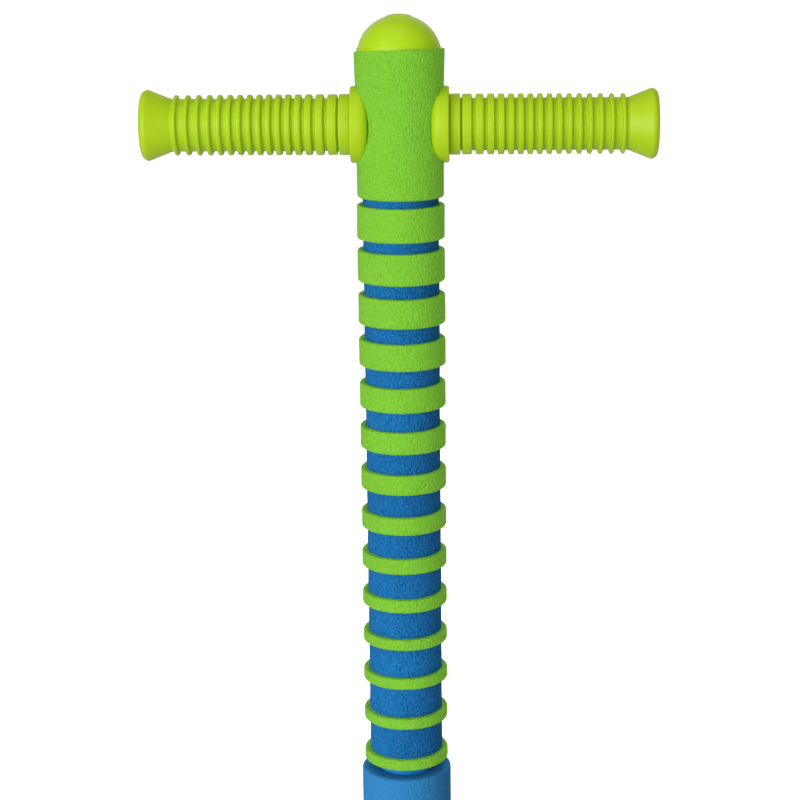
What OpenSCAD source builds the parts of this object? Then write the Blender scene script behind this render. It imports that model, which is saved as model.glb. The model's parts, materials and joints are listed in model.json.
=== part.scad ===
/* [Overall] */
// Height of the handlebar's axis above the ground
handle_z = 800; // [795:1:815]
// Width over the ends of both handle grips
handle_w = 270; // [268:1:276]
// Spring travel of the plunger
travel = 80; // [60:1:80]

/* [Steel tubes] */
// Outside diameter of the main tube
tube_d = 32; // [31.5:0.1:32]
// Wall thickness of the main tube
tube_wall = 1.5; // [1.4:0.1:1.5]
// Height of the main tube's lower end
tube_bottom = 150; // [148:1:152]
// Outside diameter of the handlebar
bar_d = 22; // [21:0.5:22]
// Outside diameter of the plunger tube
plunger_d = 25; // [24.5:0.1:25]

/* [Foam cover] */
// Outside diameter of the blue foam core
core_d = 40.3; // [39.5:0.1:40.5]
// Outside diameter of the green foam rings
ring_d = 46.5; // [46:0.1:47]
// Outside diameter of the green sleeve under the handlebar
sleeve_d = 45.9; // [45.5:0.1:46.5]
// Outside diameter of the green sleeve's stretched top lip
sleeve_lip_d = 47.4; // [47:0.1:47.6]
// Sleeve's lower edge, below the handlebar's axis
sleeve_below = 37.8; // [37:0.1:40]
// Sleeve's upper edge, above the handlebar's axis
sleeve_above = 39; // [38.5:0.1:40]
// Width of the first ring
ring_w_first = 18; // [17:0.1:18.5]
// How much narrower each next ring is
ring_w_step = 1.18; // [1.1:0.01:1.3]
// Width of the narrowest rings
ring_w_least = 6.2; // [5.5:0.1:6.5]
// Gap above the first ring
ring_gap_first = 4.05; // [3.5:0.05:4.5]
// How much wider the last gap is than the first
ring_gap_growth = 14.1; // [13:0.1:15]

/* [Lower sleeve] */
// Outside diameter of the smooth blue lower sleeve
lower_d = 49.8; // [49:0.1:52]
// Bare stretch of main tube above the lower sleeve
lower_gap = 5; // [4:0.1:6]

/* [Grips] */
// Diameter over the grip's ribs
rib_d = 31.6; // [31:0.1:33]
// Diameter of the grip between its ribs
grip_d = 27.4; // [27:0.1:28]
// Diameter of the grip's flared end
flare_d = 37; // [36:0.1:38]
// Diameter of the collar at the grip's inner end
collar_d = 31.8; // [31.4:0.1:33]
// Diameter of the thick flange between grip and foam
flange_d = 40; // [39.5:0.1:40.5]

/* [Foot pegs] */
// Height of the pegs' axis above the ground
peg_z = 226; // [224:1:228]
// Width over both foot pegs
peg_w = 250; // [246:1:256]
// Width of a peg's tread, front to back
peg_depth = 40; // [38:1:42]
// Height of a peg
peg_h = 24; // [23:1:25]

/* [Foot] */
// Diameter of the rubber foot where it meets the ground
foot_d = 66; // [62:1:72]
// Height of the rubber foot
foot_h = 48; // [46:1:50]

/* [Hidden] */
$fn = 96;
RINGS = 14;
RIBS = 16;
SIDES = ["left", "right"];

function two_digits(n) = n < 10 ? str("0", n) : str(n);
function ring_name(n) = str("foam_ring_", two_digits(n));

// clearances between pieces
fit = 0.05;          // push fit, all round
run = 0.08;          // running fit of the plunger
over = 1;            // how far a cutter runs past a face

// colours
LIME = [0.66, 0.80, 0.15];
GREEN = [0.50, 0.78, 0.22];
BLUE = [0.14, 0.44, 0.71];
BRIGHT_BLUE = [0.12, 0.57, 0.86];
STEEL = [0.72, 0.73, 0.75];
BLACK = [0.10, 0.10, 0.11];
NYLON = [0.90, 0.90, 0.87];

// main tube
tube_r = tube_d / 2;
bore_r = tube_r - tube_wall;
tube_top = handle_z + 31;
bar_r = bar_d / 2;
bar_wall = 1.5;
bar_end = handle_w / 2 - 8;

// foam cover
core_r = core_d / 2;
core_top = handle_z + 31.2;
ring_r = ring_d / 2;
ring_edge = 0.8;
gap_power = 0.8;
cover_r = tube_r + fit;

function ring_w(n) = max(ring_w_least, ring_w_first - ring_w_step * (n - 1));
function ring_gap(n) = ring_gap_first + ring_gap_growth * pow((n - 1) / (RINGS - 1), gap_power);
function ring_top(n) = n == 1
    ? handle_z - sleeve_below - ring_gap(1)
    : ring_top(n - 1) - ring_w(n - 1) - ring_gap(n);

core_bottom = ring_top(RINGS) - ring_w(RINGS);
sleeve_r = sleeve_d / 2;
lip_r = sleeve_lip_d / 2;
sleeve_bore_r = core_r + fit;
sleeve_bottom = handle_z - sleeve_below;
sleeve_top = handle_z + sleeve_above;
lower_r = lower_d / 2;
lower_top = core_bottom - lower_gap;

// top cap: a dome on a skirt, held by a plug in the main tube
cap_r = 22;
cap_wall = 2.5;
cap_centre = handle_z + 34.7;
cap_plug_depth = 16;
cap_disc_r = 6.3;
cap_disc_h = 0.5;
cap_lip = 0.3;
cap_lip_top = sleeve_top + 0.7;

// handlebar bolt, along Y
bolt_r = 2.5;
bolt_head_r = 4.5;
bolt_head_h = 3;
nut_r = 4.6;
nut_h = 4;
bolt_pocket_r = 5.6;
bolt_pocket_y = 21.6;

// grip, from its inner end outward along X
flange_r = flange_d / 2;
flange_in = 16.4;
flange_out = 25.9;
flange_edge = 5;
flange_cone = 3;
flange_steps = 6;
collar_out = 31.7;
rib_start = 32.4;
rib_w_last = 2.2;
rib_w_spread = 1.6;
rib_w_inner = 1.75;
rib_w_decay = 1.46;
rib_gap_first = 1.53;
rib_gap_growth = 2.27;
rib_gap_power = 2.2;
rib_chamfer = 0.6;
flare_length = 15.6;
flare_round = 2.6;

function rib_w(n) = rib_w_last + rib_w_spread * (RIBS - n) / (RIBS - 1)
    + rib_w_inner * exp(-(n - 1) / rib_w_decay);
function rib_gap(n) = rib_gap_first + rib_gap_growth * pow((n - 1) / (RIBS - 2), rib_gap_power);
function rib_x(n) = n == 1 ? rib_start : rib_x(n - 1) + rib_w(n - 1) + rib_gap(n - 1);

// peg hub
hub_r = 27;
hub_half = 32;
hub_cavity_half = 26;
collar_r = 19.5;
collar_half = 24;
peg_bar_r = 8;
hub_boss_r = 17;
hub_boss_x = 30;
hub_chamfer = 4;
hub_screw_x = 23.3;
hub_screw_z = 21;
hub_screw_r = 2;
hub_screw_reach = 9;
hub_head_r = 3.6;
hub_head_h = 3;
hub_bottom = peg_z - hub_half;
hub_top = peg_z + hub_half;

// foot pegs
peg_in = hub_boss_x;
peg_out = peg_w / 2;
peg_bar_end = peg_out - 9;
peg_lip = 6;
peg_lip_rise = 4;
peg_corner = 8;
peg_groove = 1.5;
peg_ribs = 9;
peg_inner_rim = 4;
tread_in = peg_in + 8;
tread_out = peg_out - peg_lip - 5;
tread_depth = 28;
tread_sink = 2;
tread_h = 3.2;
tread_gap = 0.1;
tread_bar_h = 1.2;
tread_bars = 9;
peg_screw_r = 3;
peg_screw_length = 18;
peg_head_r = 6;
peg_head_h = 4;
peg_head_in = peg_out - peg_head_h - 1;

// plunger, spring and stops
bush_depth = 45;
bush_flange_h = 5;
bush_flange_r = 18.5;
bush_screw_z = 20;
bush_screw_r = 1.9;
bush_screw_in = 13.4;
bush_head_r = 3.6;
bush_head_h = 2.3;
plunger_r = plunger_d / 2;
plunger_wall = 2;
rebound_h = 6;
piston_bottom = tube_bottom + bush_depth + rebound_h;
piston_socket = 18;
piston_h = 26;
piston_spigot_h = 10;
piston_pin_z = piston_bottom + 9;
piston_pin_r = 2.5;
spring_wire = 4;
spring_r = 12;
spigot_r = spring_r - spring_wire / 2 - 0.5;
spring_bottom = piston_bottom + piston_h;
spring_length = 178;
spring_top = spring_bottom + spring_length;
spring_turns = 22;
spring_end_turns = 1;
spring_end_pitch = 4.3;
spring_steps = 10;
spring_sides = 6;
spring_pitch = (spring_length - spring_wire - 2 * spring_end_turns * spring_end_pitch) / spring_turns;

// height of the coil's centre line after a number of turns: closed, then open, then closed
function coil_z(turn) =
    let (
        low = min(turn, spring_end_turns),
        middle = min(max(turn - spring_end_turns, 0), spring_turns),
        high = max(turn - spring_end_turns - spring_turns, 0)
    )
        (low + high) * spring_end_pitch + middle * spring_pitch;

seat_h = 12;
seat_spigot_h = 10;
seat_bolt_r = 3;
seat_bolt_head_r = 5.2;
seat_bolt_head_h = 4;
seat_nut_h = 5;
seat_pocket_r = 6.3;
seat_pocket_y = 22.6;
seat_bolt_z = spring_top + seat_h / 2;

// rubber foot
foot_r = foot_d / 2;
foot_top_r = 19;
foot_base_h = 12;
foot_socket = 12;
washer_h = 2;
washer_hole_r = 3;
groove_w = 3;
groove_depth = 2.5;
groove_inner = 11;
groove_outer = 21;
stop_r = 17.5;
stop_waist = 2.5;
stop_top = tube_bottom - bush_flange_h - travel;

// a cylinder along Z with a bore
module pipe(r_out, r_in, z_low, z_high) {
    translate([0, 0, z_low])
        difference() {
            cylinder(r = r_out, h = z_high - z_low);
            translate([0, 0, -over])
                cylinder(r = r_in, h = z_high - z_low + 2 * over);
        }
}

// a cylinder along Z between two heights
module post(r, z_low, z_high) {
    translate([0, 0, z_low])
        cylinder(r = r, h = z_high - z_low);
}

// a cylinder along X, from x_low to x_high, at height z
module rod_x(r, x_low, x_high, z) {
    translate([x_low, 0, z])
        rotate([0, 90, 0])
            cylinder(r = r, h = x_high - x_low);
}

// a cylinder along Y, from y_low to y_high, at height z
module rod_y(r, y_low, y_high, z) {
    translate([0, y_low, z])
        rotate([-90, 0, 0])
            cylinder(r = r, h = y_high - y_low);
}

// turns a lathe profile, drawn as (radius, distance), to lie along X at height z
module lathe_x(z) {
    translate([0, 0, z])
        rotate([0, 90, 0])
            rotate_extrude()
                children();
}

// puts a right-hand piece on the side that is asked for
module on_side(side) {
    if (side == "left")
        mirror([1, 0, 0])
            children();
    else
        children();
}

// a rectangle with round corners, from exact squares and circles
module round_rect(width, height, corner) {
    square([width - 2 * corner, height], center = true);
    square([width, height - 2 * corner], center = true);
    for (sx = [-1, 1], sy = [-1, 1])
        translate([sx * (width / 2 - corner), sy * (height / 2 - corner)])
            circle(r = corner);
}

// Main tube, with cross holes for the handlebar, its bolt, the spring seat and the bush
module main_tube() {
    color(BRIGHT_BLUE)
        difference() {
            pipe(tube_r, bore_r, tube_bottom, tube_top);
            rod_x(bar_r + fit, -tube_d, tube_d, handle_z);
            rod_y(bolt_r + fit, -tube_d, tube_d, handle_z);
            rod_y(seat_bolt_r + fit, -tube_d, tube_d, seat_bolt_z);
            rod_x(bush_screw_r + fit, -tube_d, tube_d, tube_bottom + bush_screw_z);
        }
}

// Handlebar through the main tube
module handle_bar() {
    color(STEEL)
        difference() {
            rod_x(bar_r, -bar_end, bar_end, handle_z);
            rod_x(bar_r - bar_wall, -bar_end - over, bar_end + over, handle_z);
            rod_y(bolt_r + fit, -bar_d, bar_d, handle_z);
        }
}

// Bolt that holds the handlebar in the main tube
module handle_bolt() {
    color(STEEL) {
        rod_y(bolt_r, -tube_r - fit, tube_r + fit + nut_h + 0.4, handle_z);
        rod_y(bolt_head_r, -tube_r - fit - bolt_head_h, -tube_r - fit, handle_z);
    }
}

// Its nut
module handle_nut() {
    color(STEEL)
        difference() {
            translate([0, tube_r + fit, handle_z])
                rotate([-90, 0, 0])
                    cylinder(r = nut_r, h = nut_h, $fn = 6);
            rod_y(bolt_r + fit, tube_r - over, tube_r + nut_h + 2 * over, handle_z);
        }
}

// Dome over the top end, with a small raised disc
module top_cap() {
    inner_r = cap_r - cap_wall;
    plug_r = bore_r - fit;
    color(LIME) {
        difference() {
            union() {
                translate([0, 0, cap_centre])
                    sphere(r = cap_r);
                post(cap_r + cap_lip, core_top + fit, cap_lip_top);
                intersection() {
                    translate([0, 0, cap_centre])
                        sphere(r = cap_r + cap_disc_h);
                    post(cap_disc_r, cap_centre, cap_centre + 2 * cap_r);
                }
            }
            translate([0, 0, cap_centre])
                sphere(r = inner_r);
            post(inner_r, cap_centre - 2 * cap_r, cap_centre);
            post(2 * cap_r, cap_centre - 2 * cap_r, core_top + fit);
        }
        difference() {
            pipe(plug_r, plug_r - 2, tube_top - cap_plug_depth, cap_centre + cap_r);
            difference() {
                post(cap_r * 2, cap_centre, cap_centre + 2 * cap_r);
                translate([0, 0, cap_centre])
                    sphere(r = inner_r + over);
            }
        }
    }
}

// half outline of a flange, grown by a gap: a cone from the bar, a rounded edge, then straight out to an end
module flange_outline(gap, end_x) {
    round_r = flange_edge + gap;
    polygon([
        [0, flange_in - flange_cone - gap],
        [bar_r, flange_in - flange_cone - gap],
        for (k = [0 : flange_steps])
            [
                flange_r - flange_edge + round_r * sin(90 * k / flange_steps),
                flange_in + flange_edge - round_r * cos(90 * k / flange_steps)
            ],
        [flange_r + gap, end_x],
        [0, end_x]
    ]);
}

// the space in the foam that the handlebar and its flanges fill
module flange_space() {
    for (side = SIDES)
        on_side(side) {
            lathe_x(handle_z)
                flange_outline(fit, handle_w);
            rod_x(bar_r + fit, 0, handle_w, handle_z);
        }
}

// Blue foam over the main tube, from the cap down to the last ring
module foam_core() {
    color(BLUE)
        difference() {
            pipe(core_r, cover_r, core_bottom, core_top);
            flange_space();
            rod_y(bolt_pocket_r, -bolt_pocket_y, bolt_pocket_y, handle_z);
        }
}

// Green foam sleeve over the top of the core, its mouth stretched over the cap's skirt
module top_sleeve() {
    seat_z = core_top + fit;
    mouth_r = cap_r + cap_lip + fit;
    color(GREEN)
        difference() {
            rotate_extrude()
                polygon([
                    [sleeve_bore_r, sleeve_bottom],
                    [sleeve_r - ring_edge, sleeve_bottom],
                    [sleeve_r, sleeve_bottom + ring_edge],
                    [sleeve_r + 0.25, handle_z + flange_r],
                    [lip_r, sleeve_top - ring_edge],
                    [lip_r - ring_edge / 2, sleeve_top],
                    [mouth_r, sleeve_top],
                    [mouth_r, seat_z],
                    [sleeve_bore_r, seat_z]
                ]);
            flange_space();
            rod_y(bolt_pocket_r, -bolt_pocket_y, bolt_pocket_y, handle_z);
        }
}

// One green foam ring
module foam_ring(n) {
    z_high = ring_top(n);
    z_low = z_high - ring_w(n);
    color(GREEN)
        rotate_extrude()
            polygon([
                [sleeve_bore_r, z_low],
                [ring_r - ring_edge, z_low],
                [ring_r, z_low + ring_edge],
                [ring_r, z_high - ring_edge],
                [ring_r - ring_edge, z_high],
                [sleeve_bore_r, z_high]
            ]);
}

// Thick round flange, pressed into the foam's side hole and seated on the main tube
module grip_flange(side) {
    color(LIME)
        on_side(side)
            difference() {
                lathe_x(handle_z)
                    flange_outline(0, flange_out);
                post(tube_r + fit, handle_z - flange_d, handle_z + flange_d);
                rod_x(bar_r + fit, 0, handle_w, handle_z);
            }
}

// half outline of the right-hand grip: collar, ribs that thin out, and a flared end
module grip_outline() {
    end_x = handle_w / 2;
    grip_r = grip_d / 2;
    flare_x = end_x - flare_length;
    difference() {
        union() {
            translate([0, flange_out + fit])
                square([grip_r, end_x - flange_out - fit]);
            translate([0, flange_out + fit])
                square([collar_d / 2, collar_out - flange_out - fit]);
            for (n = [1 : RIBS])
                polygon([
                    [grip_r - over, rib_x(n)],
                    [rib_d / 2 - rib_chamfer, rib_x(n)],
                    [rib_d / 2, rib_x(n) + rib_chamfer],
                    [rib_d / 2, rib_x(n) + rib_w(n) - rib_chamfer],
                    [rib_d / 2 - rib_chamfer, rib_x(n) + rib_w(n)],
                    [grip_r - over, rib_x(n) + rib_w(n)]
                ]);
            polygon([
                [grip_r - over, flare_x],
                [grip_r, flare_x],
                [flare_d / 2 - 0.6, end_x - flare_round - 1.8],
                [flare_d / 2, end_x - flare_round - 0.6],
                [flare_d / 2 - 0.5, end_x - flare_round / 3],
                [flare_d / 2 - flare_round, end_x],
                [0, end_x],
                [0, end_x - 4]
            ]);
        }
        square([bar_r + fit, bar_end + fit]);
    }
}

// Handle grip
module grip(side) {
    color(LIME)
        on_side(side)
            lathe_x(handle_z)
                grip_outline();
}

// Smooth blue sleeve from the bare stretch of tube down to the peg hub
module lower_sleeve() {
    edge = 1.5;
    color(BLUE)
        difference() {
            rotate_extrude()
                polygon([
                    [cover_r, hub_top + fit],
                    [lower_r, hub_top + fit],
                    [lower_r, lower_top - edge],
                    [lower_r - edge / 3, lower_top - edge / 3],
                    [lower_r - edge, lower_top],
                    [cover_r, lower_top]
                ]);
            rod_y(seat_pocket_r, -seat_pocket_y, seat_pocket_y, seat_bolt_z);
        }
}

// Steel collar round the main tube, with a bar out to each side for the pegs
module peg_frame() {
    color(STEEL)
        difference() {
            union() {
                post(collar_r, peg_z - collar_half, peg_z + collar_half);
                rod_x(peg_bar_r, -peg_bar_end, peg_bar_end, peg_z);
            }
            post(tube_r + fit, peg_z - 2 * collar_half, peg_z + 2 * collar_half);
            for (side = SIDES)
                on_side(side)
                    rod_x(peg_screw_r + fit, peg_bar_end - peg_screw_length - over, peg_w, peg_z);
        }
}

// the places of the hub's four screws
module at_hub_screws() {
    for (sx = [-1, 1], sz = [-1, 1])
        translate([sx * hub_screw_x, 0, peg_z + sz * hub_screw_z])
            children();
}

// both halves of the plastic hub that covers the peg frame
module hub_body() {
    difference() {
        union() {
            rotate_extrude()
                polygon([
                    [0, hub_bottom],
                    [hub_r - hub_chamfer, hub_bottom],
                    [hub_r, hub_bottom + hub_chamfer],
                    [hub_r, hub_top - 1],
                    [hub_r - 1, hub_top],
                    [0, hub_top]
                ]);
            rod_x(hub_boss_r, -hub_boss_x, hub_boss_x, peg_z);
        }
        post(tube_r + fit, hub_bottom - over, hub_top + over);
        post(collar_r + fit, peg_z - hub_cavity_half, peg_z + hub_cavity_half);
        rod_x(peg_bar_r + fit, -peg_w, peg_w, peg_z);
        at_hub_screws() {
            rod_y(hub_screw_r + fit, -2 * hub_r, hub_screw_reach + over, 0);
            rod_y(hub_head_r + 4 * fit, -2 * hub_r, -hub_screw_reach, 0);
        }
    }
}

// one half of the hub: facing is -1 for the front and 1 for the rear
module hub_shell(facing) {
    reach = 2 * hub_r;
    color(LIME)
        intersection() {
            hub_body();
            translate([-reach, facing < 0 ? -reach : 0, hub_bottom - over])
                cube([2 * reach, reach, 2 * hub_half + 2 * over]);
        }
}

// Four screws that join the hub's halves
module hub_screws() {
    color(STEEL)
        at_hub_screws() {
            rod_y(hub_screw_r, -hub_screw_reach, hub_screw_reach, 0);
            rod_y(hub_head_r, -hub_screw_reach - hub_head_h, -hub_screw_reach, 0);
        }
}

// a slab of the peg's rounded outline, from x_low to x_high
module peg_slab(depth, height, x_low, x_high) {
    translate([x_low, 0, peg_z])
        rotate([90, 0, 90])
            linear_extrude(height = x_high - x_low)
                round_rect(depth, height, peg_corner);
}

// Foot peg: a ribbed shoe on the peg bar, with a raised outer lip
module foot_peg(side) {
    pitch = (tread_out - tread_in) / peg_ribs;
    core_depth = peg_depth - 2 * peg_groove;
    core_h = peg_h - 2 * peg_groove;
    recess_z = peg_z + peg_h / 2 - tread_sink;
    lip_in = peg_out - peg_lip;
    color(LIME)
        on_side(side)
            difference() {
                union() {
                    peg_slab(core_depth, core_h, peg_in, peg_out);
                    peg_slab(peg_depth, peg_h, peg_in + fit, peg_in + peg_inner_rim);
                    for (n = [0 : peg_ribs - 1]) {
                        rib_in = tread_in + (n + 0.25) * pitch;
                        peg_slab(peg_depth, peg_h, rib_in, rib_in + pitch / 2);
                    }
                    translate([0, 0, peg_lip_rise / 2])
                        peg_slab(peg_depth + peg_lip_rise, peg_h + peg_lip_rise, lip_in, peg_out);
                }
                rod_x(peg_bar_r + fit, 0, peg_bar_end + fit, peg_z);
                rod_x(peg_screw_r + fit, 0, peg_w, peg_z);
                rod_x(peg_head_r + fit, peg_head_in, peg_w, peg_z);
                translate([tread_in - tread_gap, -tread_depth / 2 - tread_gap, recess_z])
                    cube([tread_out - tread_in + 2 * tread_gap, tread_depth + 2 * tread_gap, peg_h]);
            }
}

// Rubber tread let into the top of a peg
module peg_tread(side) {
    base_z = peg_z + peg_h / 2 - tread_sink;
    pitch = (tread_out - tread_in) / tread_bars;
    color(BLUE)
        on_side(side) {
            translate([tread_in, -tread_depth / 2, base_z])
                cube([tread_out - tread_in, tread_depth, tread_h]);
            for (n = [0 : tread_bars - 1])
                translate([tread_in + (n + 0.25) * pitch, -tread_depth / 2 + 1, base_z])
                    cube([pitch / 2, tread_depth - 2, tread_h + tread_bar_h]);
        }
}

// The two screws that hold the pegs on their bars
module peg_screws() {
    color(STEEL)
        for (side = SIDES)
            on_side(side) {
                rod_x(peg_screw_r, peg_bar_end - peg_screw_length, peg_head_in, peg_z);
                rod_x(peg_head_r, peg_head_in, peg_head_in + peg_head_h, peg_z);
            }
}

// Plug that the spring pushes up against
module spring_seat() {
    color(STEEL)
        difference() {
            union() {
                post(bore_r - fit, spring_top, spring_top + seat_h);
                post(spigot_r, spring_top - seat_spigot_h, spring_top + over);
            }
            rod_y(seat_bolt_r + fit, -tube_d, tube_d, seat_bolt_z);
        }
}

// Bolt through the main tube and the spring seat
module seat_bolt() {
    color(STEEL) {
        rod_y(seat_bolt_r, -tube_r - fit, tube_r + fit + seat_nut_h + 0.4, seat_bolt_z);
        rod_y(seat_bolt_head_r, -tube_r - fit - seat_bolt_head_h, -tube_r - fit, seat_bolt_z);
    }
}

// Its nut
module seat_nut() {
    color(STEEL)
        difference() {
            translate([0, tube_r + fit, seat_bolt_z])
                rotate([-90, 0, 0])
                    cylinder(r = seat_bolt_head_r + 0.5, h = seat_nut_h, $fn = 6);
            rod_y(seat_bolt_r + fit, tube_r - over, tube_r + seat_nut_h + 2 * over, seat_bolt_z);
        }
}

// Compression spring with one closed turn at each end
module spring() {
    last = (spring_turns + 2 * spring_end_turns) * spring_steps;
    points = [
        for (i = [0 : last], j = [0 : spring_sides - 1])
            let (
                turn = i / spring_steps,
                around = 360 * turn,
                wire = 360 * (j + 0.5) / spring_sides,
                r = spring_r + spring_wire / 2 * cos(wire),
                z = coil_z(turn) + spring_wire / 2 * sin(wire)
            )
                [r * cos(around), r * sin(around), z + spring_wire / 2]
    ];
    wall = [
        for (i = [0 : last - 1], j = [0 : spring_sides - 1])
            let (
                next = (j + 1) % spring_sides,
                low = i * spring_sides,
                high = (i + 1) * spring_sides
            )
                [low + j, high + j, high + next, low + next]
    ];
    ends = [
        [for (j = [0 : spring_sides - 1]) j],
        [for (j = [0 : spring_sides - 1]) last * spring_sides + spring_sides - 1 - j]
    ];
    color(STEEL)
        translate([0, 0, spring_bottom])
            polyhedron(points = points, faces = concat(wall, ends));
}

// Nylon piston that guides the plunger's top end and carries the spring
module piston() {
    color(NYLON)
        difference() {
            union() {
                post(bore_r - run, piston_bottom, spring_bottom);
                post(spigot_r, spring_bottom - over, spring_bottom + piston_spigot_h);
            }
            post(plunger_r + fit, piston_bottom - over, piston_bottom + piston_socket);
            rod_x(piston_pin_r + fit, -tube_d, tube_d, piston_pin_z);
        }
}

// Cross pin through the piston and the plunger tube
module piston_pin() {
    color(STEEL)
        rod_x(piston_pin_r, -bore_r + 0.4, bore_r - 0.4, piston_pin_z);
}

// Plunger tube, from inside the rubber foot up into the piston
module plunger_tube() {
    low = foot_socket + washer_h;
    high = piston_bottom + piston_socket;
    color(STEEL)
        difference() {
            pipe(plunger_r, plunger_r - plunger_wall, low, high);
            rod_x(piston_pin_r + fit, -tube_d, tube_d, piston_pin_z);
        }
}

// Rubber ring that the piston comes back down on
module rebound_ring() {
    color(BLACK)
        pipe(bore_r - 0.1, plunger_r + 0.1, tube_bottom + bush_depth, piston_bottom);
}

// Flanged nylon bush in the main tube's lower end
module guide_bush() {
    color(BLACK)
        difference() {
            union() {
                post(bore_r - fit, tube_bottom - over, tube_bottom + bush_depth);
                post(bush_flange_r, tube_bottom - bush_flange_h, tube_bottom);
            }
            post(plunger_r + run, tube_bottom - 2 * bush_flange_h, tube_bottom + 2 * bush_depth);
            for (side = SIDES)
                on_side(side)
                    rod_x(bush_screw_r + fit, bush_screw_in - fit, tube_d, tube_bottom + bush_screw_z);
        }
}

// The two screws that hold the bush
module bush_screws() {
    color(STEEL)
        for (side = SIDES)
            on_side(side) {
                rod_x(bush_screw_r, bush_screw_in, tube_r + fit, tube_bottom + bush_screw_z);
                rod_x(bush_head_r, tube_r + fit, tube_r + fit + bush_head_h, tube_bottom + bush_screw_z);
            }
}

// Rubber bump stop between the foot and the bush
module bump_stop() {
    middle = (foot_h + stop_top) / 2;
    color(BLACK)
        rotate_extrude()
            polygon([
                [plunger_r + fit, foot_h],
                [stop_r - 1, foot_h],
                [stop_r, foot_h + 1],
                [stop_r, middle - 3],
                [stop_r - stop_waist, middle],
                [stop_r, middle + 3],
                [stop_r, stop_top - 1],
                [stop_r - 1, stop_top],
                [plunger_r + fit, stop_top]
            ]);
}

// Steel washer that keeps the plunger tube from cutting the rubber
module tip_washer() {
    color(STEEL)
        pipe(plunger_r, washer_hole_r, foot_socket, foot_socket + washer_h);
}

// Rubber foot with ring grooves in its sole
module rubber_foot() {
    color(BLACK)
        rotate_extrude()
            polygon([
                [0, 0],
                [groove_inner, 0],
                [groove_inner, groove_depth],
                [groove_inner + groove_w, groove_depth],
                [groove_inner + groove_w, 0],
                [groove_outer, 0],
                [groove_outer, groove_depth],
                [groove_outer + groove_w, groove_depth],
                [groove_outer + groove_w, 0],
                [foot_r - 1, 0],
                [foot_r, 1],
                [foot_r, foot_base_h - 3],
                [foot_r - 2, foot_base_h],
                [foot_top_r + 2, foot_base_h + 13],
                [foot_top_r, foot_base_h + 20],
                [foot_top_r, foot_h - 1.5],
                [foot_top_r - 1.5, foot_h],
                [plunger_r + fit, foot_h],
                [plunger_r + fit, foot_socket],
                [0, foot_socket]
            ]);
}

main_tube();
handle_bar();
handle_bolt();
handle_nut();
top_cap();
foam_core();
top_sleeve();
lower_sleeve();
peg_frame();
hub_shell(-1);  // hub_shell_front
hub_shell(1);  // hub_shell_rear
hub_screws();
peg_screws();
spring_seat();
seat_bolt();
seat_nut();
spring();
piston();
piston_pin();
plunger_tube();
rebound_ring();
guide_bush();
bush_screws();
bump_stop();
tip_washer();
rubber_foot();
for (side = SIDES) {
    grip(side);
    grip_flange(side);
    foot_peg(side);
    peg_tread(side);
}
for (n = [1 : RINGS])
    foam_ring(n);
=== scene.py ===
"""The looks of a child's foam-covered pogo stick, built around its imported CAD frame. Metres, +Z up."""

import json
import math

import bmesh
import bpy
from mathutils import Matrix, Vector, noise

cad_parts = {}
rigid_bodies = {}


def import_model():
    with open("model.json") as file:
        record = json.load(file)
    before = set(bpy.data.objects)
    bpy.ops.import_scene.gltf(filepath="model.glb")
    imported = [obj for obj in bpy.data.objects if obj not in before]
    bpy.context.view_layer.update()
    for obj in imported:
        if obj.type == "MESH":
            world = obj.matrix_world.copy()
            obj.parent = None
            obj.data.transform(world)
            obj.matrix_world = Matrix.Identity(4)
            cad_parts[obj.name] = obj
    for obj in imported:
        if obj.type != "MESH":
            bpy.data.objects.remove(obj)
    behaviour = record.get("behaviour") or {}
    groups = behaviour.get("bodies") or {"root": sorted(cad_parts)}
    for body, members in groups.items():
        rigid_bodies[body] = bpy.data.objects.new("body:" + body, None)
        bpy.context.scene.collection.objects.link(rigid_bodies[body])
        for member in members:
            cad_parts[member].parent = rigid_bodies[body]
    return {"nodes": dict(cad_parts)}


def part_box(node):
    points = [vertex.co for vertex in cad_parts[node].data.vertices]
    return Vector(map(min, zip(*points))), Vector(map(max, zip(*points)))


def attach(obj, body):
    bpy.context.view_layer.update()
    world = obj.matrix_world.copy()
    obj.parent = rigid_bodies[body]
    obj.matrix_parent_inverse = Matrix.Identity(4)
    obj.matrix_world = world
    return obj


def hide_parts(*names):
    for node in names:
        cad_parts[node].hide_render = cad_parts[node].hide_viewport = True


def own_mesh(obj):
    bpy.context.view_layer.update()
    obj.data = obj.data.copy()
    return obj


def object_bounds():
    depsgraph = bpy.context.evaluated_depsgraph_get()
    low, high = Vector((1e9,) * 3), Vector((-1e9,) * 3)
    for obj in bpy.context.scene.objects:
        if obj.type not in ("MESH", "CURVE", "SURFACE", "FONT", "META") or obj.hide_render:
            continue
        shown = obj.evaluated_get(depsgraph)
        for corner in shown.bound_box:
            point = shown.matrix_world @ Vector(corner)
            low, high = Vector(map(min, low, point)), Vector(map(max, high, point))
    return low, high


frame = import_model()
cad_low, cad_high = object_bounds()

MM = 0.001
SIDES = {"left": -1, "right": 1}
RINGS = sorted(name for name in frame["nodes"] if name.startswith("foam_ring_"))


# ---------------------------------------------------------------- places and sizes, most from the CAD frame

def middle(node):
    """Centre of a CAD node's box."""
    low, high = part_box(node)
    return (low + high) / 2


def radius_x(node):
    """Half the width of a CAD node along X."""
    low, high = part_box(node)
    return (high.x - low.x) / 2


def radius_z(node):
    """Half the height of a CAD node."""
    low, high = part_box(node)
    return (high.z - low.z) / 2


HANDLE_Z = middle("handle_bar").z
HANDLE_END = cad_high.x
TUBE_R = radius_x("main_tube")
TUBE_BORE = TUBE_R - 1.5 * MM     # the tube's inner radius
BAR_R = radius_z("handle_bar")
FIT = 0.05 * MM                   # clearance between pieces that touch
PEG_Z = middle("peg_frame").z
PEG_BAR_R = 8 * MM
THROUGH = 100 * MM                # how far a cutter reaches where it cuts right through


# ---------------------------------------------------------------- mesh helpers

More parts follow.
